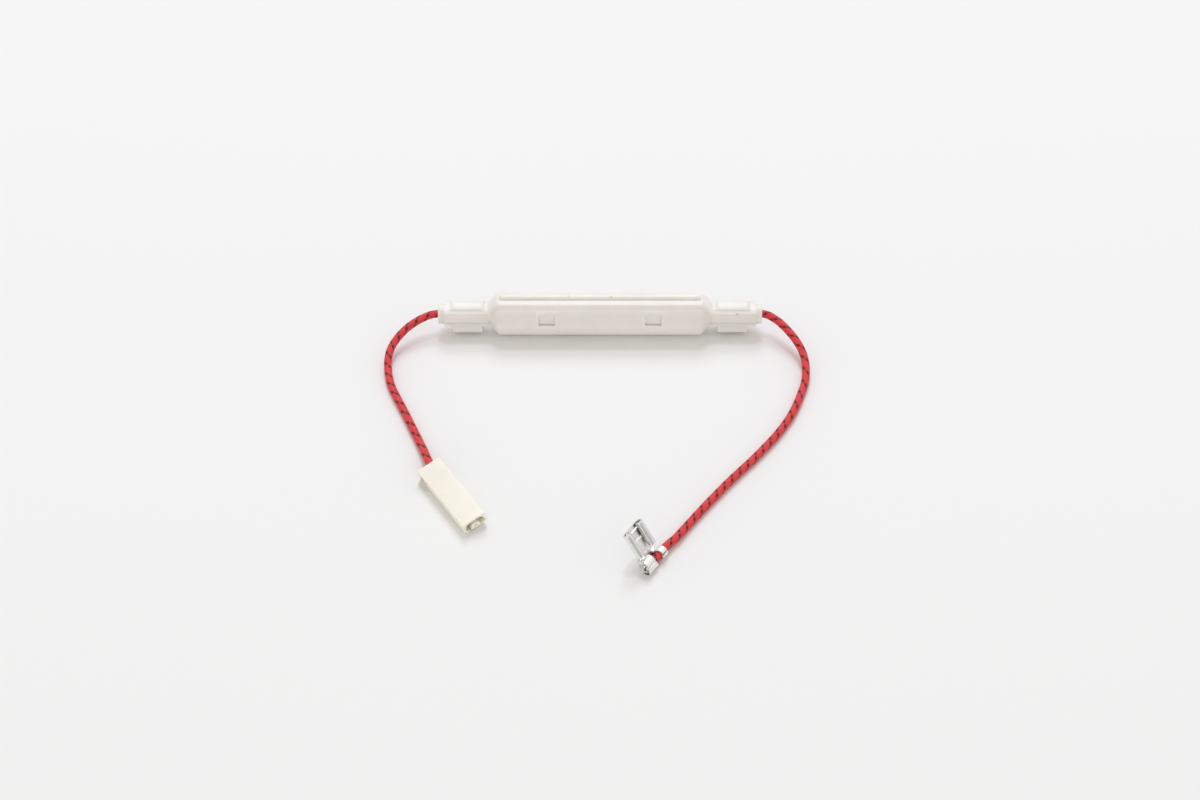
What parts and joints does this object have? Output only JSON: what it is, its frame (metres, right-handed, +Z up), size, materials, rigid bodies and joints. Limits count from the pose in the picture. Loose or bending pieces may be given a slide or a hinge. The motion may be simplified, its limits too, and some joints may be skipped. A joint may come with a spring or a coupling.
{
  "type": "high voltage fuse",
  "caption": "High voltage tube fuse in a white snap-together case, with red braided leads to a housed receptacle and a flag receptacle.",
  "frame": {"origin": "under the middle of the case, on the surface it stands on", "axes": "+X along the case from the housed lead's side to the flag receptacle's side, -Y to the side where both leads come round, +Z up from the case's underside"},
  "size_m": [0.1289, 0.1061, 0.0142],
  "materials": {
    "milky_plastic": "satin",
    "clear_glass": "clear",
    "plated_metal": "satin",
    "copper_wire": "bright",
    "spring_steel": "satin",
    "solder": "satin",
    "tinned_brass": "satin",
    "red_braid": "waxed",
    "ivory_nylon": "satin",
    "tinned_strands": "satin"
  },
  "bodies": {
    "root": {"case_base": "milky_plastic", "case_cover": "milky_plastic", "glass_tube": "clear_glass", "left_end_cap": "plated_metal", "right_end_cap": "plated_metal", "fusible_wire": "copper_wire", "pulling_spring": "spring_steel", "link_bead": "solder", "left_solder": "solder", "right_solder": "solder", "left_contact": "tinned_brass", "right_contact": "tinned_brass", "left_inner_strands": "copper_wire", "right_inner_strands": "copper_wire", "left_lead": "red_braid", "right_lead": "red_braid", "connector_housing": "ivory_nylon", "receptacle": "tinned_brass", "left_outer_strands": "copper_wire", "flag_receptacle": "tinned_brass", "right_outer_strands": "tinned_strands"}
  },
  "joints": []
}
